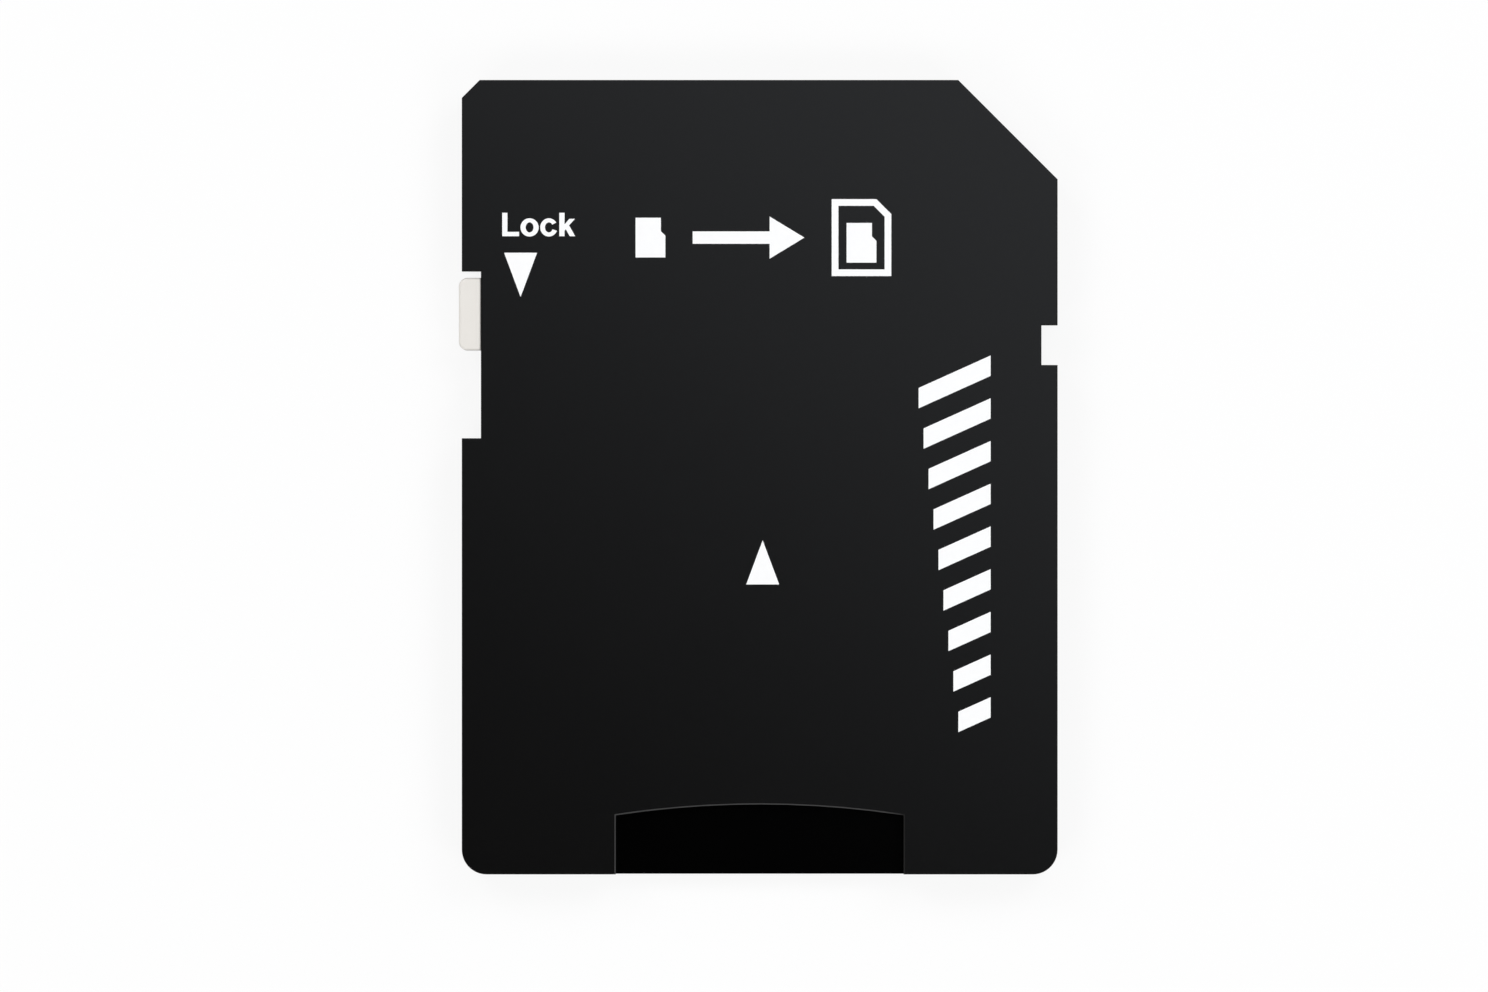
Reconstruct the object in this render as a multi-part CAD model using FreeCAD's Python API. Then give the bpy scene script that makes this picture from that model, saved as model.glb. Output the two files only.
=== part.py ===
"""Memory card adapter: a full-size card housing that takes a micro card through its tail.

The card lies on its back with its printed front up. X runs across the card, Y from the
tail to the contact end, and Z from the back face to the front face. The origin is the
middle of the back face. All sizes are in millimetres.
"""

import FreeCAD
import Part

import math
import os

# Outer card
CARD_WIDTH = 24.0
CARD_LENGTH = 32.0
CARD_THICKNESS = 2.1
RAIL_STEP = 0.7
RAIL_WIDTH = 0.77
KEY_CHAMFER = 4.0
SMALL_CHAMFER = 0.72
TAIL_RADIUS = 1.0
BACK_CORNER_RADIUS = 0.5
FRONT_EDGE_ROUND = 0.05
BACK_EDGE_CHAMFER = 0.15
PARTING_BEVEL = 0.04

# Notches in the two rails, placed from the contact end
LOCK_NOTCH_START = 7.71
LOCK_NOTCH_LENGTH = 6.72
KEY_NOTCH_START = 9.88
KEY_NOTCH_LENGTH = 1.6
KEY_NOTCH_DEPTH = 0.65

# Walls of the two shells
REAR_WALL = 0.45
BODY_WALL = 0.45
END_WALL = 1.0
BAY_WALL = 0.8
CARRIER_WALL = 0.6
POCKET_RIB_WIDTH = 0.6
POCKET_RIB_COUNT = 2

# Micro card, and the room that its bay leaves around it
MICRO_WIDTH = 11.0
MICRO_NOSE_WIDTH = 9.7
MICRO_LENGTH = 15.0
MICRO_NOSE_LENGTH = 6.1
MICRO_THICKNESS = 0.7
MICRO_SIDE_CLEARANCE = 0.1
MICRO_HEADROOM = 0.08

# Mouth of the bay
THUMB_WIDTH = 11.6
THUMB_DEPTH = 2.82
THUMB_RISE = 0.44
THUMB_RIM_WIDTH = 0.05
THUMB_RIM_DROP = 0.04
MOUTH_FLARE_LENGTH = 0.6

# Contact pads at the contact end
PAD_MARGIN = 2.4375
PAD_SETBACK = 1.0
PAD_LENGTH = 4.2
PAD_LAP = 0.1
WINDOW_RIB = 0.8
EVEN_PITCH_COUNT = 6
MIXED_PITCH = 2.425
NARROW_PITCH = 1.7
NARROW_RIB = 0.6
KEY_PAD_WALL = 0.7

# Stamped terminals
TERMINAL_THICKNESS = 0.15
TRACE_WIDTH = 0.45
TRACE_NECK = 0.4
TRACE_BEND = 0.4
LOOP_WIDTH = 0.28
LOOP_BEND = 0.2
FAN_END = 1.5
FINGER_PITCH = 1.1
FINGER_ROOT = 0.6
FINGER_CREST = 2.8
FINGER_LENGTH = 3.85
FINGER_RISE = 0.24
FINGER_BEND = 0.5
FINGER_SLOT_WIDTH = 0.65
FINGER_SLOT_END = 0.25
FINGER_FLOOR_RELIEF = 0.03
LOOP_GAP = 0.4
FIELD_MARGIN = 0.3

# Carrier moulded around the terminals
CARRIER_CLEARANCE = 0.05
CARRIER_MARGIN = 0.4
CARRIER_LIP = 0.1
PEG_DIAMETER = 1.0
PEG_CLEARANCE = 0.05
PEG_SETBACK = 1.3

# Leaf spring that holds the micro card by its side notch
SPRING_THICKNESS = 0.12
SPRING_LENGTH = 3.5
SPRING_FLAT = 0.8
SPRING_REACH = 0.35
SPRING_BEND = 0.3
SPRING_FROM_TAIL = 5.6
SPRING_RECESS = 0.8
SPRING_LIP = 0.5
SPRING_LIP_LENGTH = 0.7
SPRING_CLEARANCE = 0.03

# Lock slider
LOCK_SLIDER_LENGTH = 2.92
LOCK_SLIDER_THICKNESS = 1.2
LOCK_SLIDER_PROUD = 0.12
LOCK_SLIDER_CORNER = 0.34
LOCK_SLIDER_ROUND = 0.1
LOCK_END_GAP = 0.26
LOCK_FACE_GAP = 0.02
LOCK_CLEARANCE = 0.06
LOCK_SHANK_LENGTH = 1.0
LOCK_SHANK_THICKNESS = 0.34
LOCK_FOOT_WIDTH = 0.5

# Cutting tools run past the faces that they open by this much
OVERCUT = 0.5

# Lengths and angles below this count as nothing
TINY = 1e-6

# Places that follow from the sizes above
HALF_WIDTH = CARD_WIDTH / 2
LEAD_Y = CARD_LENGTH / 2
TAIL_Y = -CARD_LENGTH / 2
BODY_HALF_WIDTH = HALF_WIDTH - RAIL_WIDTH
CAVITY_HALF_WIDTH = BODY_HALF_WIDTH - BODY_WALL
PARTING_Z = (RAIL_STEP + CARD_THICKNESS) / 2
CONTACT_Z = RAIL_STEP
TERMINAL_TOP_Z = CONTACT_Z + TERMINAL_THICKNESS
BAY_FLOOR_Z = TERMINAL_TOP_Z + FINGER_FLOOR_RELIEF
ROOF_Z = BAY_FLOOR_Z + MICRO_THICKNESS + MICRO_HEADROOM

BAY_HALF_WIDTH = MICRO_WIDTH / 2 + MICRO_SIDE_CLEARANCE
BAY_NOSE_X = MICRO_NOSE_WIDTH - MICRO_WIDTH / 2 + MICRO_SIDE_CLEARANCE
BAY_END_Y = TAIL_Y + MICRO_LENGTH + MICRO_SIDE_CLEARANCE
BAY_STEP_Y = BAY_END_Y - MICRO_NOSE_LENGTH
BAY_STEP_RUN = BAY_HALF_WIDTH - BAY_NOSE_X
MOUTH_HALF_WIDTH = THUMB_WIDTH / 2
MOUTH_END_Y = TAIL_Y + THUMB_DEPTH
FINGER_ROW_X = (MICRO_NOSE_WIDTH - MICRO_WIDTH) / 2

LOCK_NOTCH_TOP = LEAD_Y - LOCK_NOTCH_START
LOCK_NOTCH_BOTTOM = LOCK_NOTCH_TOP - LOCK_NOTCH_LENGTH
KEY_NOTCH_TOP = LEAD_Y - KEY_NOTCH_START
KEY_NOTCH_BOTTOM = KEY_NOTCH_TOP - KEY_NOTCH_LENGTH
LOCK_SLIDER_TOP = LOCK_NOTCH_TOP - LOCK_END_GAP
LOCK_SLIDER_BOTTOM = LOCK_SLIDER_TOP - LOCK_SLIDER_LENGTH
LOCK_TRAVEL = LOCK_NOTCH_LENGTH - LOCK_SLIDER_LENGTH - 2 * LOCK_END_GAP

PAD_PITCH = (CARD_WIDTH - 2 * PAD_MARGIN - MIXED_PITCH - NARROW_PITCH) / EVEN_PITCH_COUNT
WINDOW_WIDTH = PAD_PITCH - WINDOW_RIB
NARROW_WINDOW_WIDTH = NARROW_PITCH - NARROW_RIB

# The nine pads from the key corner to the lock side: name, and pitch to the pad before it.
# A pad named for a terminal that already has one belongs to that same stamping.
PAD_ROW = [
    ("data_2", 0.0),
    ("data_3", PAD_PITCH),
    ("command", PAD_PITCH),
    ("ground_loop", PAD_PITCH),
    ("supply", PAD_PITCH),
    ("clock", PAD_PITCH),
    ("ground", PAD_PITCH),
    ("data_0", MIXED_PITCH),
    ("data_1", NARROW_PITCH),
]
KEY_PAD = "data_2"
NARROW_PADS = ("data_0", "data_1")
FINGER_ROW = [name for name, _ in PAD_ROW if name != "ground_loop"]


def point(x, y, z=0.0):
    return FreeCAD.Vector(x, y, z)


def box(x_range, y_range, z_range):
    low = point(x_range[0], y_range[0], z_range[0])
    size = [high - start for start, high in (x_range, y_range, z_range)]
    return Part.makeBox(*size, low)


def prism(outline, bottom, top):
    """A block over a closed outline of straight runs."""
    corners = [point(x, y, bottom) for x, y in outline]
    wire = Part.makePolygon(corners + corners[:1])
    return Part.Face(wire).extrude(point(0, 0, top - bottom))


def ribbon(path, width, bend, place):
    """A flat strip of even width along straight runs joined by arcs; place maps (u, v) to space."""
    runs = [(b[0] - a[0], b[1] - a[1]) for a, b in zip(path, path[1:])]
    along = [(u / math.hypot(u, v), v / math.hypot(u, v)) for u, v in runs]
    side = [(-v, u) for u, v in along]

    def moved(start, direction, distance):
        return (start[0] + direction[0] * distance, start[1] + direction[1] * distance)

    def border(hand):
        """One long edge, as (start, arc's middle, end) at each bend between two plain ends."""
        half = hand * width / 2
        stops = [(moved(path[0], side[0], half),)]
        for i, corner in enumerate(path[1:-1]):
            into, out = along[i], along[i + 1]
            turn = math.atan2(into[0] * out[1] - into[1] * out[0], into[0] * out[0] + into[1] * out[1])
            if abs(turn) < TINY:
                continue
            tangent = bend * math.tan(abs(turn) / 2)
            start, end = moved(corner, into, -tangent), moved(corner, out, tangent)
            centre = moved(start, side[i], math.copysign(bend, turn))
            reach = math.hypot(corner[0] - centre[0], corner[1] - centre[1])
            outward = ((corner[0] - centre[0]) / reach, (corner[1] - centre[1]) / reach)
            middle = moved(centre, outward, bend - math.copysign(half, half * turn))
            stops.append((moved(start, side[i], half), middle, moved(end, side[i + 1], half)))
        stops.append((moved(path[-1], side[-1], half),))
        return stops

    left = border(1)
    right = [tuple(reversed(stop)) for stop in reversed(border(-1))]
    loop = left + right
    edges = []
    for stop, following in zip(loop, loop[1:] + loop[:1]):
        if len(stop) == 3:
            edges.append(Part.Arc(*[place(*p) for p in stop]).toShape())
        edges.append(Part.LineSegment(place(*stop[-1]), place(*following[0])).toShape())
    return Part.Face(Part.Wire(edges))


def tidy(shape):
    """Merges the faces that a chain of unions and cuts left split."""
    return shape.removeSplitter()


def plan_strip(path, width, bend):
    """A terminal strip lying on the contact plane."""
    face = ribbon(path, width, bend, lambda x, y: point(x, y, CONTACT_Z))
    return face.extrude(point(0, 0, TERMINAL_THICKNESS))


# Outer outlines


def card_outline(half_width, key_chamfer, small_chamfer, notches):
    """Closed outline of one level of the card, with its tail corners still square."""
    lock_side = [(-half_width, TAIL_Y)]
    key_side = [(half_width, TAIL_Y)]
    if notches:
        floor = half_width - KEY_NOTCH_DEPTH
        key_side += [(half_width, KEY_NOTCH_BOTTOM), (floor, KEY_NOTCH_BOTTOM)]
        key_side += [(floor, KEY_NOTCH_TOP), (half_width, KEY_NOTCH_TOP)]
        floor = half_width - RAIL_WIDTH
        lock_side += [(-half_width, LOCK_NOTCH_BOTTOM), (-floor, LOCK_NOTCH_BOTTOM)]
        lock_side += [(-floor, LOCK_NOTCH_TOP), (-half_width, LOCK_NOTCH_TOP)]
    key_corner = [(half_width, LEAD_Y - key_chamfer), (half_width - key_chamfer, LEAD_Y)]
    small_corner = [(small_chamfer - half_width, LEAD_Y), (-half_width, LEAD_Y - small_chamfer)]
    return key_side + key_corner + small_corner + lock_side[::-1]


def level(outline, bottom, top, tail_radius):
    """One level of the card as a block, with its two tail corners rounded."""
    block = prism(outline, bottom, top)
    corners = [e for e in block.Edges if is_upright(e) and e.Vertexes[0].Y < TAIL_Y + tail_radius]
    return block.makeFillet(tail_radius, corners)


def is_upright(edge):
    start, end = [v.Point for v in edge.Vertexes]
    return abs(start.x - end.x) < TINY and abs(start.y - end.y) < TINY


def edges_at(shape, height):
    return [e for e in shape.Edges if all(abs(v.Z - height) < TINY for v in e.Vertexes)]


# Hollows that both shells share


def bay_outline():
    """The micro card's bay from above, with a flared mouth and the step that keys the card."""
    flare_y = MOUTH_END_Y + MOUTH_FLARE_LENGTH
    outside_y = TAIL_Y - OVERCUT
    return [
        (-MOUTH_HALF_WIDTH, outside_y),
        (MOUTH_HALF_WIDTH, outside_y),
        (MOUTH_HALF_WIDTH, MOUTH_END_Y),
        (BAY_HALF_WIDTH, flare_y),
        (BAY_HALF_WIDTH, BAY_STEP_Y - BAY_STEP_RUN),
        (BAY_NOSE_X, BAY_STEP_Y),
        (BAY_NOSE_X, BAY_END_Y),
        (-BAY_HALF_WIDTH, BAY_END_Y),
        (-BAY_HALF_WIDTH, flare_y),
        (-MOUTH_HALF_WIDTH, MOUTH_END_Y),
    ]


def spring_recess(bottom, top):
    """Recess in the bay's key-side wall: a window for the bow, and a slot behind a lip at each end."""
    middle = TAIL_Y + SPRING_FROM_TAIL
    half_slot = SPRING_LENGTH / 2 + SPRING_CLEARANCE
    half_window = half_slot - SPRING_LIP_LENGTH
    back_x = BAY_HALF_WIDTH + SPRING_RECESS
    window_x = (BAY_HALF_WIDTH - OVERCUT, back_x)
    window = box(window_x, (middle - half_window, middle + half_window), (bottom, top))
    slot_x = (BAY_HALF_WIDTH + SPRING_LIP, back_x)
    slot = box(slot_x, (middle - half_slot, middle + half_slot), (bottom, top))
    return window.fuse(slot)


def carrier_outline(grow=0.0):
    """The carrier from above: a wide head over the pads, then a funnel that follows the traces."""
    margin = TRACE_WIDTH / 2 + CARRIER_MARGIN + grow
    lock_trace, key_trace = trace_path("data_1"), trace_path(KEY_PAD)
    head_x = CAVITY_HALF_WIDTH - CARRIER_CLEARANCE + grow
    head_y = LEAD_Y - PAD_SETBACK + CARRIER_LIP + grow
    diagonal = HALF_WIDTH + LEAD_Y - KEY_CHAMFER
    chamfer_sum = diagonal - (KEY_PAD_WALL - CARRIER_LIP - grow) * math.sqrt(2)
    lock_neck, lock_end = lock_trace[1], lock_trace[2]
    key_neck, key_end = key_trace[1], key_trace[2]
    return [
        (lock_end[0] - margin, BAY_END_Y),
        (key_end[0] + margin, BAY_END_Y),
        (key_end[0] + margin, key_end[1]),
        (min(key_neck[0] + margin, head_x - grow), key_neck[1] - grow),
        (head_x, key_neck[1] - grow),
        (head_x, chamfer_sum - head_x),
        (chamfer_sum - head_y, head_y),
        (-head_x, head_y),
        (-head_x, lock_neck[1] - grow),
        (max(lock_neck[0] - margin, grow - head_x), lock_neck[1] - grow),
        (lock_end[0] - margin, lock_end[1]),
    ]


def side_pocket(hand, inner_x, top_y, trace):
    """Coring between the bay and one side wall; its top follows the carrier's funnel."""
    neck, end = trace[1], trace[2]
    slope = (neck[0] - end[0]) / (neck[1] - end[1])
    wall = CARRIER_MARGIN + TRACE_WIDTH / 2 + CARRIER_WALL * math.hypot(1, slope)

    def funnel_x(y):
        return end[0] + (y - end[1]) * slope + hand * wall

    meet_y = end[1] + (hand * inner_x - hand * wall - end[0]) / slope
    outer_x = hand * CAVITY_HALF_WIDTH
    floor_y = TAIL_Y + END_WALL
    return [
        (outer_x, floor_y),
        (hand * inner_x, floor_y),
        (hand * inner_x, meet_y),
        (funnel_x(top_y), top_y),
        (outer_x, top_y),
    ]


def lock_pocket_outline():
    inner_x = MOUTH_HALF_WIDTH + BAY_WALL
    return side_pocket(-1, inner_x, LOCK_NOTCH_TOP, trace_path("data_1"))


def key_pocket_outline():
    inner_x = BAY_HALF_WIDTH + SPRING_RECESS + BAY_WALL
    return side_pocket(1, inner_x, KEY_NOTCH_TOP, trace_path(KEY_PAD))


def lock_slot():
    """Slot through the lock side's wall that the slider's shank runs along."""
    middle = (LOCK_SLIDER_TOP + LOCK_SLIDER_BOTTOM) / 2
    reach = LOCK_SHANK_LENGTH / 2 + LOCK_CLEARANCE
    half_height = LOCK_SHANK_THICKNESS / 2 + LOCK_CLEARANCE
    return box(
        (-BODY_HALF_WIDTH - OVERCUT, -CAVITY_HALF_WIDTH + OVERCUT),
        (middle - reach - LOCK_TRAVEL, middle + reach),
        (PARTING_Z - half_height, PARTING_Z + half_height),
    )


# Stamped terminals


def pad_places():
    """The middle of each pad across the card, from the key corner to the lock side."""
    x = HALF_WIDTH - PAD_MARGIN
    places = {}
    for name, pitch in PAD_ROW:
        x -= pitch
        places[name] = x
    return places


def window_width(name):
    return NARROW_WINDOW_WIDTH if name in NARROW_PADS else WINDOW_WIDTH


def pad_front(name):
    """The end of a pad nearest the contact end; the key pad stands back from the key chamfer."""
    if name != KEY_PAD:
        return LEAD_Y - PAD_SETBACK
    outer_x = pad_places()[name] + window_width(name) / 2 + PAD_LAP
    diagonal = HALF_WIDTH + LEAD_Y - KEY_CHAMFER
    return diagonal - outer_x - KEY_PAD_WALL * math.sqrt(2)


def pad(name):
    x = pad_places()[name]
    half = window_width(name) / 2 + PAD_LAP
    front = pad_front(name)
    heights = (CONTACT_Z, TERMINAL_TOP_Z)
    return box((x - half, x + half), (front - PAD_LENGTH, front), heights)


def finger_x(name):
    first = FINGER_ROW_X + FINGER_PITCH * (len(FINGER_ROW) - 1) / 2
    return first - FINGER_PITCH * FINGER_ROW.index(name)


def trace_path(name):
    """Route of a flat trace from its pad, through the fan, to the root of its finger."""
    start_x, start_y = pad_places()[name], pad_front(name) - PAD_LENGTH
    end_x = finger_x(name)
    return [
        (start_x, start_y + PAD_LAP),
        (start_x, start_y - TRACE_NECK),
        (end_x, BAY_END_Y + FAN_END),
        (end_x, BAY_END_Y),
    ]


def loop_path():
    """Route from the second ground pad, behind the tips of two fingers, to the ground trace."""
    start_x, start_y = pad_places()["ground_loop"], pad_front("ground_loop") - PAD_LENGTH
    out_x = (finger_x("command") + finger_x("supply")) / 2
    back_x = (finger_x("clock") + finger_x("ground")) / 2
    turn_y = BAY_END_Y - FINGER_LENGTH - LOOP_GAP
    join_y = BAY_END_Y + FAN_END - TRACE_WIDTH
    return [
        (start_x, start_y + PAD_LAP),
        (start_x, start_y - TRACE_NECK),
        (out_x, BAY_END_Y + FAN_END),
        (out_x, turn_y),
        (back_x, turn_y),
        (back_x, join_y),
        (finger_x("ground"), join_y),
    ]


def finger(name):
    """Sprung finger: flat at its root, rising to a rounded crest, with its tip turned down."""
    middle_z = CONTACT_Z + TERMINAL_THICKNESS / 2
    crest_z = BAY_FLOOR_Z + FINGER_RISE - TERMINAL_THICKNESS / 2
    tip_z = BAY_FLOOR_Z - TERMINAL_THICKNESS / 2
    side = [
        (BAY_END_Y + FINGER_ROOT, middle_z),
        (BAY_END_Y - FINGER_ROOT, middle_z),
        (BAY_END_Y - FINGER_CREST, crest_z),
        (BAY_END_Y - FINGER_LENGTH, tip_z),
    ]
    start_x = finger_x(name) - TRACE_WIDTH / 2
    face = ribbon(side, TERMINAL_THICKNESS, FINGER_BEND, lambda y, z: point(start_x, y, z))
    return face.extrude(point(TRACE_WIDTH, 0, 0))


def terminal(name):
    """One stamping: pad, trace and sprung finger. The ground one has a second pad on a loop."""
    trace = plan_strip(trace_path(name), TRACE_WIDTH, TRACE_BEND)
    pieces = [trace, finger(name)]
    if name == "ground":
        pieces += [pad("ground_loop"), plan_strip(loop_path(), LOOP_WIDTH, LOOP_BEND)]
    return tidy(pad(name).multiFuse(pieces))


# Moulded pieces


def pegs(diameter, bottom, top):
    """Two locating pegs, each midway between two traces just behind the pads."""
    y = LEAD_Y - PAD_SETBACK - PAD_LENGTH - PEG_SETBACK
    found = []
    for first, second in (("data_3", "command"), ("supply", "clock")):
        middle = 0.0
        for name in (first, second):
            neck, end = trace_path(name)[1:3]
            share = (neck[1] - y) / (neck[1] - end[1])
            middle += (neck[0] + (end[0] - neck[0]) * share) / 2
        found.append(Part.makeCylinder(diameter / 2, top - bottom, point(middle, y, bottom)))
    return Part.makeCompound(found)


def terminal_carrier(terminals):
    """Block moulded around the traces, with the pads and traces flush in its underside."""
    block = prism(carrier_outline(), CONTACT_Z, ROOF_Z)
    holes = pegs(PEG_DIAMETER + 2 * PEG_CLEARANCE, CONTACT_Z - OVERCUT, ROOF_Z + OVERCUT)
    return tidy(block.cut([*terminals, holes]))


def windows():
    """Nine slots in the back that bare the pads, each open at the contact end."""
    cuts = []
    for name, x in pad_places().items():
        half = window_width(name) / 2
        back = pad_front(name) - PAD_LENGTH + PAD_LAP
        cuts.append(box((x - half, x + half), (back, LEAD_Y + OVERCUT), (-OVERCUT, CONTACT_Z)))
    return cuts


def finger_field():
    """Sunk floor under the fingers, with a slot below each one to flex into."""
    far_y = BAY_END_Y - FINGER_LENGTH - LOOP_GAP - FIELD_MARGIN
    low_x = finger_x(FINGER_ROW[-1]) - FINGER_PITCH / 2
    high_x = finger_x(FINGER_ROW[0]) + FINGER_PITCH / 2
    cuts = [box((low_x, high_x), (far_y, BAY_END_Y), (CONTACT_Z, PARTING_Z))]
    slot_end = BAY_END_Y - FINGER_LENGTH - FINGER_SLOT_END + LOOP_WIDTH / 2
    for name in FINGER_ROW:
        x = finger_x(name)
        sides = (x - FINGER_SLOT_WIDTH / 2, x + FINGER_SLOT_WIDTH / 2)
        cuts.append(box(sides, (slot_end, BAY_END_Y), (REAR_WALL, PARTING_Z)))
    return cuts


def pocket_ribs():
    """Stiffening ribs across both side pockets, evenly spaced between the tail and the bay's end."""
    start = TAIL_Y + END_WALL
    step = (BAY_END_Y - start) / (POCKET_RIB_COUNT + 1)
    ribs = []
    for number in range(1, POCKET_RIB_COUNT + 1):
        y = start + number * step
        span = (y - POCKET_RIB_WIDTH / 2, y + POCKET_RIB_WIDTH / 2)
        for hand in (-1, 1):
            ends = sorted((hand * CAVITY_HALF_WIDTH, hand * (MOUTH_HALF_WIDTH + BAY_WALL)))
            ribs.append(box(ends, span, (REAR_WALL, PARTING_Z)))
    return ribs


def rear_shell():
    """Back half of the housing: the stepped body, its contact windows and the bay's floor."""
    back_chamfer = KEY_CHAMFER - RAIL_WIDTH
    back = level(
        card_outline(BODY_HALF_WIDTH, back_chamfer, BACK_EDGE_CHAMFER, notches=False),
        0.0, RAIL_STEP, BACK_CORNER_RADIUS,
    )
    back = back.makeChamfer(BACK_EDGE_CHAMFER, edges_at(back, 0.0))
    rails = level(
        card_outline(HALF_WIDTH, KEY_CHAMFER, SMALL_CHAMFER, notches=True),
        RAIL_STEP, PARTING_Z, TAIL_RADIUS,
    )
    rails = rails.makeChamfer(PARTING_BEVEL, edges_at(rails, PARTING_Z))
    hollows = [
        prism(carrier_outline(CARRIER_CLEARANCE), CONTACT_Z, PARTING_Z),
        prism(bay_outline(), BAY_FLOOR_Z, PARTING_Z),
        prism(lock_pocket_outline(), REAR_WALL, PARTING_Z),
        prism(key_pocket_outline(), REAR_WALL, PARTING_Z),
        spring_recess(BAY_FLOOR_Z, PARTING_Z),
        lock_slot(),
        *finger_field(),
        *windows(),
    ]
    shell = back.fuse(rails).cut(hollows)
    return tidy(shell.multiFuse([*pocket_ribs(), pegs(PEG_DIAMETER, CONTACT_Z, PARTING_Z)]))


def thumb_outline(grow, height):
    """Outline of the thumb notch: two straight sides and a shallow arch."""
    half = MOUTH_HALF_WIDTH + grow
    outside_y = TAIL_Y - OVERCUT
    crown_y = MOUTH_END_Y + grow
    shoulder_y = crown_y - THUMB_RISE
    left, right = point(-half, shoulder_y, height), point(half, shoulder_y, height)
    arch = Part.Arc(left, point(0, crown_y, height), right).toShape()
    sides = Part.makePolygon(
        [right, point(half, outside_y, height), point(-half, outside_y, height), left]
    )
    return Part.Wire([arch, *sides.Edges])


def thumb_notch():
    """Cutter for the thumb notch, with a fine bevel round its rim."""
    rim_z = CARD_THICKNESS - THUMB_RIM_DROP
    over_z = CARD_THICKNESS + THUMB_RIM_DROP
    through = Part.Face(thumb_outline(0.0, PARTING_Z)).extrude(point(0, 0, CARD_THICKNESS))
    flare = [thumb_outline(0.0, rim_z), thumb_outline(2 * THUMB_RIM_WIDTH, over_z)]
    return through.fuse(Part.makeLoft(flare, True, True))


def front_shell():
    """Front half of the housing: the printed face, the roof of the bay and the thumb notch."""
    outline = card_outline(HALF_WIDTH, KEY_CHAMFER, SMALL_CHAMFER, notches=True)
    plate = level(outline, PARTING_Z, CARD_THICKNESS, TAIL_RADIUS)
    plate = plate.makeFillet(FRONT_EDGE_ROUND, edges_at(plate, CARD_THICKNESS))
    plate = plate.makeChamfer(PARTING_BEVEL, edges_at(plate, PARTING_Z))
    hollows = [
        prism(carrier_outline(CARRIER_CLEARANCE), PARTING_Z, ROOF_Z),
        prism(bay_outline(), PARTING_Z, ROOF_Z),
        prism(lock_pocket_outline(), PARTING_Z, ROOF_Z),
        prism(key_pocket_outline(), PARTING_Z, ROOF_Z),
        spring_recess(PARTING_Z, ROOF_Z),
        lock_slot(),
        thumb_notch(),
    ]
    return tidy(plate.cut(hollows))


def card_spring():
    """Bowed leaf spring in the bay's wall; its ends sit behind the recess's lips."""
    middle = TAIL_Y + SPRING_FROM_TAIL
    back_x = BAY_HALF_WIDTH + SPRING_RECESS - SPRING_CLEARANCE - SPRING_THICKNESS / 2
    tip_x = BAY_HALF_WIDTH - SPRING_REACH + SPRING_THICKNESS / 2
    half = SPRING_LENGTH / 2
    foot = half - SPRING_FLAT
    path = [
        (back_x, middle - half),
        (back_x, middle - foot),
        (tip_x, middle),
        (back_x, middle + foot),
        (back_x, middle + half),
    ]
    face = ribbon(path, SPRING_THICKNESS, SPRING_BEND, lambda x, y: point(x, y, BAY_FLOOR_Z))
    return face.extrude(point(0, 0, ROOF_Z - SPRING_CLEARANCE - BAY_FLOOR_Z))


def lock_slider():
    """Write-protect slider: a rounded tab in the rail's notch, a shank, and a foot behind the wall."""
    tab_x = (-HALF_WIDTH - LOCK_SLIDER_PROUD, -BODY_HALF_WIDTH - LOCK_FACE_GAP)
    tab_y = (LOCK_SLIDER_BOTTOM, LOCK_SLIDER_TOP)
    half_tab = LOCK_SLIDER_THICKNESS / 2
    tab = box(tab_x, tab_y, (PARTING_Z - half_tab, PARTING_Z + half_tab))
    outer = [e for e in tab.Edges if is_upright(e) and abs(e.Vertexes[0].X - tab_x[0]) < TINY]
    tab = tab.makeFillet(LOCK_SLIDER_CORNER, outer)
    faces = (PARTING_Z - half_tab, PARTING_Z + half_tab)
    rims = [e for z in faces for e in edges_at(tab, z) if not lies_at_x(e, tab_x[1])]
    tab = tab.makeFillet(LOCK_SLIDER_ROUND, rims)

    foot_x = -CAVITY_HALF_WIDTH + LOCK_CLEARANCE
    middle = sum(tab_y) / 2
    half_shank = LOCK_SHANK_THICKNESS / 2
    shank = box(
        (tab_x[1], foot_x),
        (middle - LOCK_SHANK_LENGTH / 2, middle + LOCK_SHANK_LENGTH / 2),
        (PARTING_Z - half_shank, PARTING_Z + half_shank),
    )
    foot = box(
        (foot_x, foot_x + LOCK_FOOT_WIDTH),
        tab_y,
        (REAR_WALL + LOCK_CLEARANCE, ROOF_Z - LOCK_CLEARANCE),
    )
    return tidy(tab.multiFuse([shank, foot]))


def lies_at_x(edge, x):
    return all(abs(v.X - x) < TINY for v in edge.Vertexes)


def main():
    terminals = {name: terminal(name) for name in FINGER_ROW}
    parts = {f"terminal_{name}": shape for name, shape in terminals.items()}
    parts["terminal_carrier"] = terminal_carrier(terminals.values())
    parts["rear_shell"] = rear_shell()
    parts["front_shell"] = front_shell()
    parts["card_spring"] = card_spring()
    parts["lock_slider"] = lock_slider()
    os.makedirs("parts", exist_ok=True)
    for name, shape in parts.items():
        shape.exportStep(f"parts/{name}.step")


main()
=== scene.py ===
"""Looks of the memory card adapter: materials, printed marks, studio and camera.

The adapter has the outline of a full-size card, and is called the card here. It lies on its back
with its printed front up, +Y is the contact end and +X the side of the key corner. Lengths are in
metres, unless a heading says millimetres.
"""
import math

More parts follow.
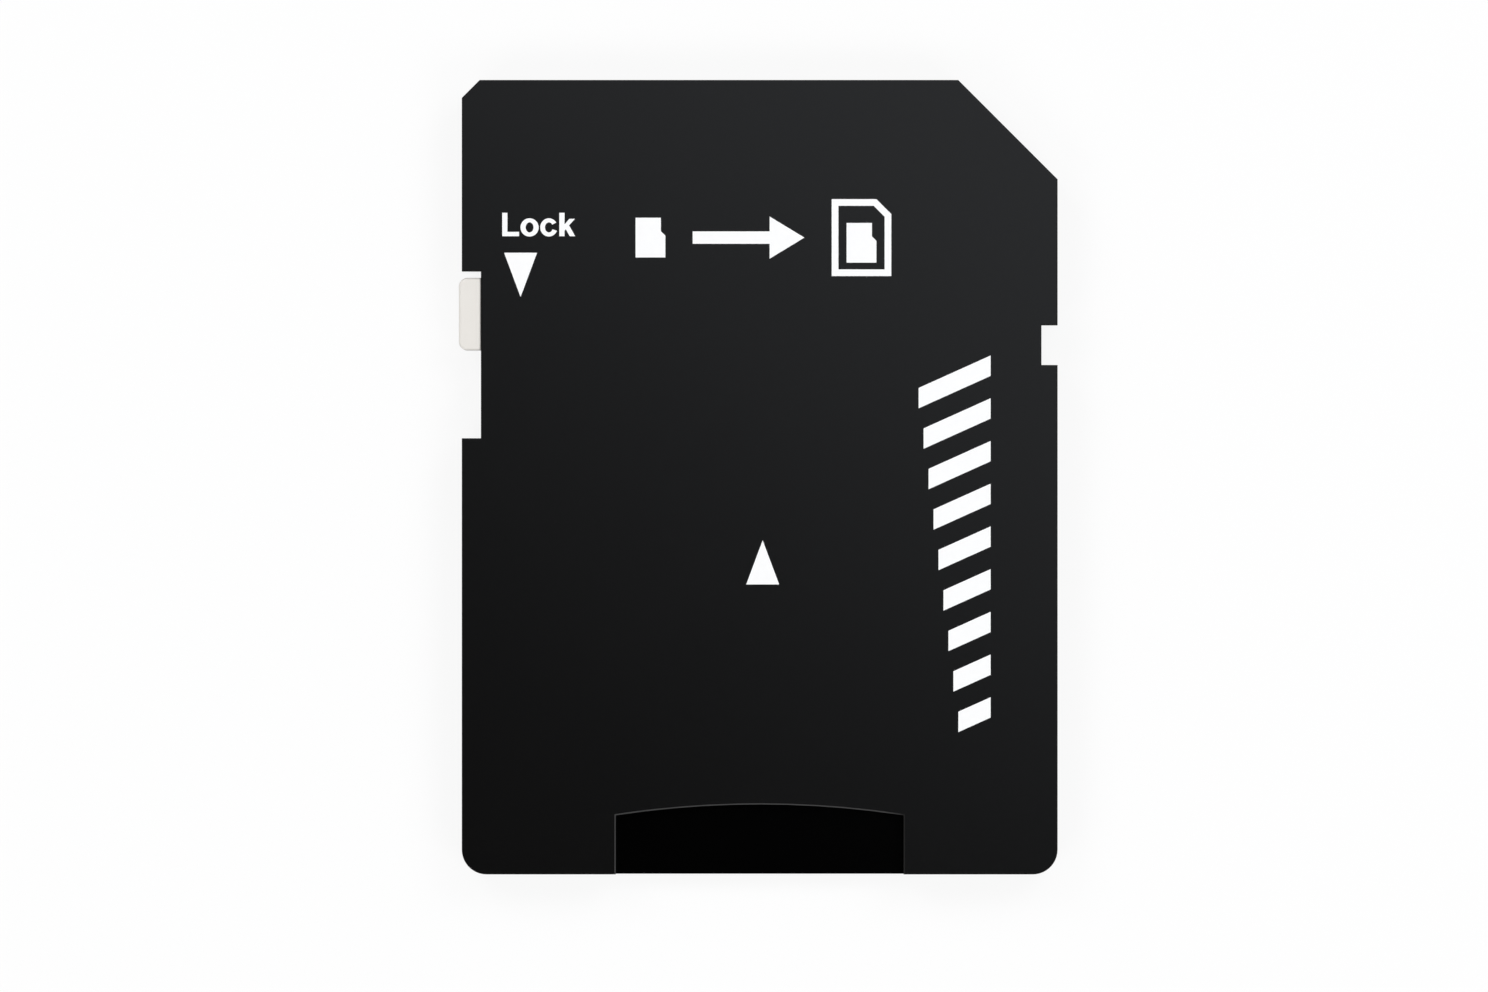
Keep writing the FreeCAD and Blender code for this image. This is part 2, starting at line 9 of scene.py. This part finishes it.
import bpy
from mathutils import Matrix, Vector


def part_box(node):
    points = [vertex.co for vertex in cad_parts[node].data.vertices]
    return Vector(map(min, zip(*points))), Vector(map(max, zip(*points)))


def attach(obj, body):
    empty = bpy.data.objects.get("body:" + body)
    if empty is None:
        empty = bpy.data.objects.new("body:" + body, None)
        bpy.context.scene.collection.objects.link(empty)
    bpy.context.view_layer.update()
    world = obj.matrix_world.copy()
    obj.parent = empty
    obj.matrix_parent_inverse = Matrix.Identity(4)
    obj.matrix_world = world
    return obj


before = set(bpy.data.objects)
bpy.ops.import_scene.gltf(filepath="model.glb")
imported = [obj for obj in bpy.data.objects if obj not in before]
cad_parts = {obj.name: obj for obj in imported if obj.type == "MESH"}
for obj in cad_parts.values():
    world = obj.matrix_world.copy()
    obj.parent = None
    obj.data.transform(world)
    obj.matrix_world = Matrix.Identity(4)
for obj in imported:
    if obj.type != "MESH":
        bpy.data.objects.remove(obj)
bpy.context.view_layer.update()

MM = 0.001
FULL_TURN = 360

# Camera, with its frame in pixels
PHOTO_WIDTH = 1488
PHOTO_HEIGHT = 992
PIXELS_PER_MM = 24.83
CARD_CENTRE_PIXEL = (759.7, 477.2)
LENS_MM = 350
SENSOR_MM = 36
CLIP_NEAR = 0.01
CLIP_FAR = 20.0

# Ink, in millimetres
INK_THICKNESS = 0.012
INK_SINK = 0.002

# Triangles and the start of the switch's word, in millimetres on the card's front
TRIANGLE_HALF_WIDTH = 0.664
TRIANGLE_HEIGHT = 1.78
INSERT_TRIANGLE_BASE = (0.12, -4.32)
LOCK_TRIANGLE_BASE = (-9.63, 9.04)
LOCK_WORD_START = (-10.37, 9.705)

# Letters of the switch's word, in millimetres from the word's start
LETTER_HEIGHT = 0.945
LETTER_LOW_HEIGHT = 0.7
LETTER_STEM = 0.21
L_WIDTH = 0.68
L_FOOT = 0.175
O_LEFT = 0.735
O_WIDTH = 0.735
C_LEFT = 1.53
C_WIDTH = 0.7
C_OPENING_DEGREES = (-22, 32)
RING_HEIGHT = 0.735
RING_SINK = 0.012
COUNTER_WIDTH = 0.315
COUNTER_HEIGHT = 0.405
RING_STEPS = 48
K_LEFT = 2.3
K_WIDTH = 0.64
K_WAIST = 0.475
K_LIMB = 0.22
K_ARM_SLOPE = 1.15
K_LEG_SLOPE = 1.78

# Slanted bars, in millimetres on the card's front
BAR_COUNT = 9
BAR_RIGHT = 9.3
BAR_TOP = 4.9
BAR_PITCH = 1.72
BAR_HEIGHT = 0.82
BAR_SLANT = 0.45
BAR_WIDEST = 2.9
BAR_NARROWEST = 1.3

# Card sign, in millimetres on the card's front
SIGN_LEFT = -5.0
SIGN_RIGHT = 5.3
SIGN_LOW = 8.1
SIGN_LINE = 0.27
SIGN_SPACE = 1.1
SMALL_CARD_WIDTH = 1.2
SMALL_CARD_HEIGHT = 1.6
SMALL_CARD_STEP = 0.18
SMALL_CARD_SHOULDER_SHARE = 0.55
LARGE_CARD_WIDTH = 2.4
LARGE_CARD_HEIGHT = 3.1
LARGE_CARD_CUT = 0.6
ARROW_SHAFT = 0.5
ARROW_HEAD = 1.7
ARROW_HEAD_LENGTH = 1.4

# Zones of the black plastic, in millimetres: the thumb notch's bevelled rim, with a painted highlight,
# and the card bay, with painted shade
RIM_REACH = 5.9
RIM_START = -13.0
RIM_DROP = 0.041
RIM_SKIN = 0.001
RIM_HIGHLIGHT_FADE_START = 5.0
RIM_HIGHLIGHT_FADE_END = 5.95
BAY_REACH = 5.82
BAY_LOW = 0.6
BAY_HIGH = 1.39

# Finishes, with noise scales per metre, depths in metres, and levels and roughness from 0 to 1

# Black plastic
BLACK_LEVELS = (0.0012, 0.0018)
BLACK_WARMTH = 0.12
BLACK_ROUGHNESS = (0.22, 0.27)
BLACK_SPECULAR = 0.4
BLACK_CLOUD_SCALE = 260
BLACK_GRAIN_SCALE = 15000
BLACK_GRAIN_STRENGTH = 0.12
# Pale colour painted on the thumb notch's bevelled rim as a highlight
RIM_HIGHLIGHT_LEVEL = 0.043
# Near-black colour painted in the card bay as shade
BAY_SHADE_LEVEL = 0.0002
BAY_ROUGHNESS = 0.12

# Carrier plastic
CARRIER_LEVELS = (0.008, 0.02)
CARRIER_ROUGHNESS = (0.55, 0.7)
FLECK_SCALE = 9000
FLECK_LIMITS = (0.55, 0.75)
FLECK_STRENGTH = 0.2
FLECK_DEPTH = 3e-6

# Slider plastic
SLIDER_COLOURS = ((0.775, 0.745, 0.70, 1.0), (0.81, 0.78, 0.735, 1.0))
SLIDER_ROUGHNESS = (0.38, 0.5)
SLIDER_CLOUD_SCALE = 900
SLIDER_GRAIN_SCALE = 12000

# Gold plating
GOLD_COLOURS = ((0.83, 0.56, 0.21, 1.0), (0.90, 0.66, 0.30, 1.0))
GOLD_ROUGHNESS = (0.16, 0.36)
GOLD_CLOUD_SCALE = 700
WIPE_STRETCH = (14000, 500, 14000)
WIPE_STRENGTH = 0.12
WIPE_DEPTH = 1e-6

# Spring steel
STEEL_LEVELS = (0.52, 0.62)
STEEL_WARMTH = 0.01
STEEL_ROUGHNESS = (0.24, 0.4)
ROLLING_STRETCH = (12000, 600, 12000)

# White ink
INK_LEVELS = (0.94, 0.97)
INK_ROUGHNESS = (0.5, 0.62)
INK_MOTTLE_SCALE = 5000

# Grain that the plastics and the ink share
GRAIN_STRENGTH = 0.1
GRAIN_DEPTH = 2e-6

# Floor
FLOOR_HALF_SIZE = 4.0
FLOOR_PAINT = 0.9
FLOOR_GLOW = 0.88

# Room light, and the heights between which it fades, from 0 at the horizon to 1 overhead
HORIZON_LEVEL = 0.36
CEILING_LEVEL = 0.004
FADE_START = 0.2
FADE_END = 0.97

# Lamps, in metres and watts
SHEEN_LAMP_PLACE = (0.050, 0.072, 0.225)
SHEEN_LAMP_SIZE = 0.17
SHEEN_LAMP_WATTS = 0.092
SHEEN_LAMP_TINT = (0.95, 1.0, 1.07)
CORNER_LAMP_AZIMUTHS = (45, 135, 225, 315)
CORNER_LAMP_REACH = 0.29
CORNER_LAMP_HEIGHT = 0.31
CORNER_LAMP_SIZE = 0.2
CORNER_LAMP_WATTS = 0.51


# Node helpers


class Nodes:
    """The node tree of a material or of the room, with one call to add and wire a node."""

    def __init__(self, tree):
        self.tree = tree
        tree.nodes.clear()

    def add(self, kind, settings=None, **inputs):
        node = self.tree.nodes.new(kind)
        for name, value in (settings or {}).items():
            setattr(node, name, value)
        for name, value in inputs.items():
            self.wire(node.inputs[name.replace("_", " ")], value)
        return node

    def wire(self, socket, value):
        if isinstance(value, bpy.types.NodeSocket):
            self.tree.links.new(value, socket)
        else:
            socket.default_value = value

    def math(self, operation, *values):
        node = self.tree.nodes.new("ShaderNodeMath")
        node.operation = operation
        for socket, value in zip(node.inputs, values):
            self.wire(socket, value)
        return node.outputs[0]

    def noise(self, scale, detail, vector=None):
        node = self.add("ShaderNodeTexNoise", Scale=scale, Detail=detail)
        self.wire(node.inputs["Vector"], vector or self.place())
        return node.outputs["Fac"]

    def streaks(self, stretch):
        """Noise drawn out along the card's length."""
        vector = self.add("ShaderNodeMapping", Vector=self.place(), Scale=stretch).outputs["Vector"]
        return self.noise(1.0, detail=4.0, vector=vector)

    def place(self):
        """The point in the part's own frame, in metres."""
        return self.add("ShaderNodeTexCoord").outputs["Object"]

    def span(self, value, low, high, start=0.0, end=1.0):
        """The value, taken from the range start to end onto the range low to high."""
        node = self.add("ShaderNodeMapRange", Value=value)
        node.inputs["From Min"].default_value = start
        node.inputs["From Max"].default_value = end
        self.wire(node.inputs["To Min"], low)
        self.wire(node.inputs["To Max"], high)
        return node.outputs["Result"]

    def within(self, value, low, high):
        """1 where the value is between the two limits, and 0 elsewhere."""
        above = self.math("GREATER_THAN", value, low)
        return self.math("MULTIPLY", above, self.math("LESS_THAN", value, high))

    def blend(self, factor, first, second):
        node = self.add("ShaderNodeMix", {"data_type": "RGBA"})
        self.wire(node.inputs["Factor"], factor)
        self.wire(node.inputs["A"], first)
        self.wire(node.inputs["B"], second)
        return next(out for out in node.outputs if out.type == "RGBA")

    def bump(self, height, strength, depth):
        node = self.add("ShaderNodeBump", Height=height, Strength=strength, Distance=depth)
        return node.outputs["Normal"]

    def surface(self, **inputs):
        """One surface with these inputs, wired to the material's output."""
        shader = self.add("ShaderNodeBsdfPrincipled", **inputs)
        self.finish(shader.outputs["BSDF"])

    def finish(self, shader):
        output = self.add("ShaderNodeOutputMaterial")
        self.tree.links.new(shader, output.inputs["Surface"])


def new_material(name):
    material = bpy.data.materials.new(name)
    material.use_nodes = True
    return material, Nodes(material.node_tree)


def grey(value, warmth=0.0):
    return (value * (1 + warmth), value, value * (1 - warmth), 1.0)


def greys(levels, warmth=0.0):
    return [grey(level, warmth) for level in levels]


def front_face_height():
    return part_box("front_shell")[1].z


# Materials


def black_plastic(name, zone, zone_level, zone_roughness=None):
    """Black moulded plastic with a fine eroded grain, and a colour of painted light inside one zone: a
    highlight on the thumb notch's rim, or shade in the card bay.
    """
    material, nodes = new_material(name)
    inside = zone(nodes, nodes.add("ShaderNodeSeparateXYZ", Vector=nodes.place()).outputs)
    clouds = nodes.noise(BLACK_CLOUD_SCALE, detail=3.0)
    grain = nodes.noise(BLACK_GRAIN_SCALE, detail=1.0)
    black = nodes.blend(clouds, *greys(BLACK_LEVELS, BLACK_WARMTH))
    roughness = nodes.span(grain, *BLACK_ROUGHNESS)
    if zone_roughness is not None:
        roughness = nodes.span(inside, roughness, zone_roughness)
    # Inside the zone the colour is painted light: a highlight on the rim, or shade in the bay
    nodes.surface(
        Base_Color=nodes.blend(inside, black, grey(zone_level)),
        Roughness=roughness,
        Specular_IOR_Level=BLACK_SPECULAR,
        Normal=nodes.bump(grain, BLACK_GRAIN_STRENGTH, GRAIN_DEPTH),
    )
    return material


def thumb_rim_highlight(nodes, point):
    """The thumb notch's bevelled rim, painted pale as a highlight that fades out towards the key side.
    """
    top = front_face_height()
    across = nodes.within(point["X"], -RIM_REACH * MM, RIM_REACH * MM)
    along = nodes.math("LESS_THAN", point["Y"], RIM_START * MM)
    deep = nodes.within(point["Z"], top - RIM_DROP * MM, top - RIM_SKIN * MM)
    rim = nodes.math("MULTIPLY", across, nodes.math("MULTIPLY", along, deep))
    # The painted highlight fades out towards the key side, as if less light fell there
    fade = nodes.span(point["X"], 1.0, 0.0, RIM_HIGHLIGHT_FADE_START * MM, RIM_HIGHLIGHT_FADE_END * MM)
    return nodes.math("MULTIPLY", rim, fade)


def card_bay_shade(nodes, point):
    """The card bay, which is painted darker as shade, and has a smoother surface."""
    across = nodes.within(point["X"], -BAY_REACH * MM, BAY_REACH * MM)
    return nodes.math("MULTIPLY", across, nodes.within(point["Z"], BAY_LOW * MM, BAY_HIGH * MM))


def carrier_plastic():
    """Glass-filled black plastic around the terminals, matte with pale flecks."""
    material, nodes = new_material("carrier_plastic")
    flecks = nodes.span(nodes.noise(FLECK_SCALE, detail=2.0), 0.0, 1.0, *FLECK_LIMITS)
    nodes.surface(
        Base_Color=nodes.blend(flecks, *greys(CARRIER_LEVELS)),
        Roughness=nodes.span(flecks, *CARRIER_ROUGHNESS),
        Normal=nodes.bump(flecks, FLECK_STRENGTH, FLECK_DEPTH),
    )
    return material


def slider_plastic():
    """Off-white plastic of the lock slider."""
    material, nodes = new_material("slider_plastic")
    clouds = nodes.noise(SLIDER_CLOUD_SCALE, detail=3.0)
    grain = nodes.noise(SLIDER_GRAIN_SCALE, detail=1.0)
    nodes.surface(
        Base_Color=nodes.blend(clouds, *SLIDER_COLOURS),
        Roughness=nodes.span(grain, *SLIDER_ROUGHNESS),
        Normal=nodes.bump(grain, GRAIN_STRENGTH, GRAIN_DEPTH),
    )
    return material


def contact_gold():
    """Gold plating, wiped by sockets along the card's length."""
    material, nodes = new_material("contact_gold")
    wipes = nodes.streaks(WIPE_STRETCH)
    clouds = nodes.noise(GOLD_CLOUD_SCALE, detail=3.0)
    nodes.surface(
        Base_Color=nodes.blend(clouds, *GOLD_COLOURS),
        Metallic=1.0,
        Roughness=nodes.span(wipes, *GOLD_ROUGHNESS),
        Normal=nodes.bump(wipes, WIPE_STRENGTH, WIPE_DEPTH),
    )
    return material


def spring_steel():
    """Rolled steel strip."""
    material, nodes = new_material("spring_steel")
    rolling = nodes.streaks(ROLLING_STRETCH)
    nodes.surface(
        Base_Color=nodes.blend(rolling, *greys(STEEL_LEVELS, STEEL_WARMTH)),
        Metallic=1.0,
        Roughness=nodes.span(rolling, *STEEL_ROUGHNESS),
    )
    return material


def white_ink():
    """Screen-printed white ink."""
    material, nodes = new_material("white_ink")
    mottle = nodes.noise(INK_MOTTLE_SCALE, detail=3.0)
    nodes.surface(
        Base_Color=nodes.blend(mottle, *greys(INK_LEVELS)),
        Roughness=nodes.span(mottle, *INK_ROUGHNESS),
        Normal=nodes.bump(mottle, GRAIN_STRENGTH, GRAIN_DEPTH),
    )
    return material


# Printed marks


def print_mark(name, shapes, ink):
    """Ink on the front face.

    Each shape is a list of faces that share corners, and each face a list of (x, y) in millimetres,
    counterclockwise.
    """
    bottom = front_face_height() - INK_SINK * MM
    top = front_face_height() + INK_THICKNESS * MM
    corners, sides = [], []
    for faces in shapes:
        points = dict.fromkeys(point for face in faces for point in face)
        low = {point: len(corners) + number for number, point in enumerate(points)}
        high = {point: number + len(points) for point, number in low.items()}
        corners += [(x * MM, y * MM, height) for height in (bottom, top) for x, y in points]
        edges = dict.fromkeys((face[i - 1], face[i]) for face in faces for i in range(len(face)))
        sides += [[low[point] for point in reversed(face)] for face in faces]
        sides += [[high[point] for point in face] for face in faces]
        sides += [[low[a], low[b], high[b], high[a]] for a, b in edges if (b, a) not in edges]
    mesh = bpy.data.meshes.new(name)
    mesh.from_pydata(corners, [], sides)
    mesh.materials.append(ink)
    piece = bpy.data.objects.new(name, mesh)
    bpy.context.scene.collection.objects.link(piece)
    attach(piece, "housing")


def triangle(base, direction):
    """A tall triangle on the middle of its base, pointing up (1) or down (-1)."""
    x, y = base
    return [[
        (x - direction * TRIANGLE_HALF_WIDTH, y),
        (x + direction * TRIANGLE_HALF_WIDTH, y),
        (x, y + direction * TRIANGLE_HEIGHT),
    ]]


def letter_l():
    """A stem with a foot."""
    return [[
        (0.0, 0.0), (L_WIDTH, 0.0), (L_WIDTH, L_FOOT), (LETTER_STEM, L_FOOT),
        (LETTER_STEM, LETTER_HEIGHT), (0.0, LETTER_HEIGHT),
    ]]


def letter_ring(left, width, start, end):
    """A round letter: a band of short faces from one angle in degrees to another.

    A band that makes a full turn is closed.
    """
    x, y = left + width / 2, RING_HEIGHT / 2 - RING_SINK
    first = 0 if end - start == FULL_TURN else 1
    step = math.radians(end - start) / (RING_STEPS - first)
    turns = [math.radians(start) + step * i for i in range(RING_STEPS)]

    def arc(across, along):
        return [(x + across / 2 * math.cos(turn), y + along / 2 * math.sin(turn)) for turn in turns]

    outer = arc(width, RING_HEIGHT)
    inner = arc(COUNTER_WIDTH, COUNTER_HEIGHT)
    return [[outer[i - 1], outer[i], inner[i], inner[i - 1]] for i in range(first, RING_STEPS)]


def letter_k():
    """A stem, an arm that rises from it, and a leg that falls from the arm."""
    stem = K_LEFT + LETTER_STEM
    arm_left = stem + (LETTER_LOW_HEIGHT - K_WAIST) / K_ARM_SLOPE
    arm_right = arm_left + K_LIMB
    root = LETTER_LOW_HEIGHT - K_ARM_SLOPE * (arm_right - stem)
    heel, toe = K_LEFT + K_WIDTH - K_LIMB, K_LEFT + K_WIDTH

    def fork(foot):
        """Where the leg's edge that ends at this foot meets the arm's lower edge."""
        reach = K_LEG_SLOPE * foot + K_ARM_SLOPE * arm_right - LETTER_LOW_HEIGHT
        x = reach / (K_ARM_SLOPE + K_LEG_SLOPE)
        return (x, K_LEG_SLOPE * (foot - x))

    return [[
        (K_LEFT, 0.0), (stem, 0.0), (stem, root), fork(heel), (heel, 0.0), (toe, 0.0), fork(toe),
        (arm_right, LETTER_LOW_HEIGHT), (arm_left, LETTER_LOW_HEIGHT), (stem, K_WAIST),
        (stem, LETTER_HEIGHT), (K_LEFT, LETTER_HEIGHT),
    ]]


def lock_word():
    """The switch's function word, in plain block letters beside the slider."""
    low, high = C_OPENING_DEGREES
    letters = [
        letter_l(),
        letter_ring(O_LEFT, O_WIDTH, 0, FULL_TURN),
        letter_ring(C_LEFT, C_WIDTH, high, FULL_TURN + low),
        letter_k(),
    ]
    x, y = LOCK_WORD_START
    return [[[(x + u, y + v) for u, v in face] for face in faces] for faces in letters]


def level_bars():
    """A column of slanted bars along the key side that shorten towards the tail."""
    bars = []
    for number in range(BAR_COUNT):
        share = number / (BAR_COUNT - 1)
        width = BAR_WIDEST + (BAR_NARROWEST - BAR_WIDEST) * share
        left = BAR_RIGHT - width
        top = BAR_TOP - BAR_PITCH * number
        drop = width * BAR_SLANT
        bars.append([[
            (left, top - drop - BAR_HEIGHT),
            (BAR_RIGHT, top - BAR_HEIGHT),
            (BAR_RIGHT, top),
            (left, top - drop),
        ]])
    return bars


def small_card(left, bottom):
    """Silhouette of a micro card with its stepped side."""
    right, top = left + SMALL_CARD_WIDTH, bottom + SMALL_CARD_HEIGHT
    nose = right - SMALL_CARD_STEP
    shoulder = bottom + SMALL_CARD_SHOULDER_SHARE * SMALL_CARD_HEIGHT
    return [[
        (left, bottom), (right, bottom), (right, shoulder), (nose, shoulder + SMALL_CARD_STEP),
        (nose, top), (left, top),
    ]]


def large_card(left, bottom):
    """Outline of a full-size card, drawn as a line with its cut corner."""
    right, top, cut = left + LARGE_CARD_WIDTH, bottom + LARGE_CARD_HEIGHT, LARGE_CARD_CUT
    outer = [(left, bottom), (right, bottom), (right, top - cut), (right - cut, top), (left, top)]
    line = SIGN_LINE
    bend = line * (math.sqrt(2) - 1)
    inner = [
        (left + line, bottom + line), (right - line, bottom + line),
        (right - line, top - cut - bend), (right - cut - bend, top - line),
        (left + line, top - line),
    ]
    return [[outer[i - 1], outer[i], inner[i], inner[i - 1]] for i in range(len(outer))]


def right_arrow(tail, tip, middle):
    """An arrow that points to the right."""
    neck = tip - ARROW_HEAD_LENGTH
    shaft, head = ARROW_SHAFT / 2, ARROW_HEAD / 2
    return [[
        (tail, middle - shaft), (neck, middle - shaft), (neck, middle - head), (tip, middle),
        (neck, middle + head), (neck, middle + shaft), (tail, middle + shaft),
    ]]


def card_sign():
    """A micro card, an arrow, and the full-size card that takes it."""
    middle = SIGN_LOW + LARGE_CARD_HEIGHT / 2
    large_left = SIGN_RIGHT - LARGE_CARD_WIDTH
    held_left = large_left + (LARGE_CARD_WIDTH - SMALL_CARD_WIDTH) / 2
    return [
        small_card(SIGN_LEFT, middle - SMALL_CARD_HEIGHT / 2),
        right_arrow(SIGN_LEFT + SMALL_CARD_WIDTH + SIGN_SPACE, large_left - SIGN_SPACE, middle),
        large_card(large_left, SIGN_LOW),
        small_card(held_left, SIGN_LOW + 2 * SIGN_LINE),
    ]


# Studio


def pale_floor():
    """A white floor that keeps a soft shadow under the card."""
    material, nodes = new_material("pale_floor")
    path = nodes.add("ShaderNodeLightPath").outputs
    seen = nodes.math("MAXIMUM", path["Is Camera Ray"], path["Is Glossy Ray"])
    seen = nodes.math("MAXIMUM", seen, path["Is Transmission Ray"])
    paint = nodes.add("ShaderNodeBsdfDiffuse", Color=grey(FLOOR_PAINT))
    glow = nodes.add("ShaderNodeEmission", Color=grey(1.0), Strength=1.0)
    mix = nodes.add("ShaderNodeMixShader")
    nodes.wire(mix.inputs["Fac"], nodes.math("MULTIPLY", seen, FLOOR_GLOW))
    nodes.wire(mix.inputs[1], paint.outputs["BSDF"])
    nodes.wire(mix.inputs[2], glow.outputs["Emission"])
    nodes.finish(mix.outputs["Shader"])

    mesh = bpy.data.meshes.new("floor")
    half = FLOOR_HALF_SIZE
    corners = [(-half, -half, 0), (half, -half, 0), (half, half, 0), (-half, half, 0)]
    mesh.from_pydata(corners, [], [(0, 1, 2, 3)])
    mesh.materials.append(material)
    floor = bpy.data.objects.new("floor", mesh)
    bpy.context.scene.collection.objects.link(floor)


def room_light():
    """Pale walls that fade to a dark ceiling."""
    world = bpy.data.worlds.new("room")
    bpy.context.scene.world = world
    world.use_nodes = True
    nodes = Nodes(world.node_tree)
    direction = nodes.add("ShaderNodeTexCoord").outputs["Generated"]
    height = nodes.add("ShaderNodeSeparateXYZ", Vector=direction).outputs["Z"]
    level = nodes.span(height, HORIZON_LEVEL, CEILING_LEVEL, FADE_START, FADE_END)
    background = nodes.add("ShaderNodeBackground", Color=grey(1.0), Strength=level)
    output = nodes.add("ShaderNodeOutputWorld")
    world.node_tree.links.new(background.outputs["Background"], output.inputs["Surface"])


def soft_lamp(name, place, size, watts, tint=(1.0, 1.0, 1.0), mirrored=True):
    """A square lamp that faces the card and stays out of the picture."""
    lamp = bpy.data.lights.new(name, "AREA")
    lamp.size = size
    lamp.energy = watts
    lamp.color = tint
    holder = bpy.data.objects.new(name, lamp)
    holder.location = place
    holder.rotation_euler = (-Vector(place)).to_track_quat("-Z", "Y").to_euler()
    holder.visible_camera = False
    holder.visible_glossy = mirrored
    bpy.context.scene.collection.objects.link(holder)


def lamps():
    """One lamp that shows in the plastic's sheen, and four that light the card evenly."""
    soft_lamp("sheen_lamp", SHEEN_LAMP_PLACE, SHEEN_LAMP_SIZE, SHEEN_LAMP_WATTS, SHEEN_LAMP_TINT)
    for azimuth in CORNER_LAMP_AZIMUTHS:
        turn = math.radians(azimuth)
        x, y = CORNER_LAMP_REACH * math.cos(turn), CORNER_LAMP_REACH * math.sin(turn)
        place = (x, y, CORNER_LAMP_HEIGHT)
        soft_lamp(f"corner_lamp_{azimuth}", place, CORNER_LAMP_SIZE, CORNER_LAMP_WATTS, mirrored=False)


def camera():
    """Straight above the card, framed as in the photograph."""
    eye = bpy.data.cameras.new("camera")
    eye.lens = LENS_MM
    eye.sensor_width = SENSOR_MM
    eye.clip_start = CLIP_NEAR
    eye.clip_end = CLIP_FAR
    width = PHOTO_WIDTH / PIXELS_PER_MM * MM
    distance = LENS_MM / SENSOR_MM * width
    holder = bpy.data.objects.new("camera", eye)
    holder.location = (
        (PHOTO_WIDTH / 2 - CARD_CENTRE_PIXEL[0]) / PIXELS_PER_MM * MM,
        (CARD_CENTRE_PIXEL[1] - PHOTO_HEIGHT / 2) / PIXELS_PER_MM * MM,
        front_face_height() + distance,
    )
    bpy.context.scene.collection.objects.link(holder)
    bpy.context.scene.camera = holder


# Scene

finishes = {
    # The thumb notch's rim gets a painted highlight
    "front_shell": black_plastic("shell_plastic", thumb_rim_highlight, RIM_HIGHLIGHT_LEVEL),
    # The card bay gets painted shade, and a lower roughness
    "rear_shell": black_plastic("bay_plastic", card_bay_shade, BAY_SHADE_LEVEL, BAY_ROUGHNESS),
    "terminal_carrier": carrier_plastic(),
    "card_spring": spring_steel(),
    "lock_slider": slider_plastic(),
}
gold = contact_gold()
for node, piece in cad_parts.items():
    piece.data.materials.clear()
    piece.data.materials.append(finishes.get(node, gold))

ink = white_ink()
print_mark("insert_triangle", [triangle(INSERT_TRIANGLE_BASE, 1)], ink)
print_mark("lock_triangle", [triangle(LOCK_TRIANGLE_BASE, -1)], ink)
print_mark("lock_word", lock_word(), ink)
print_mark("level_bars", level_bars(), ink)
print_mark("card_sign", card_sign(), ink)

pale_floor()
room_light()
lamps()
camera()
bpy.context.scene.view_settings.view_transform = "Standard"
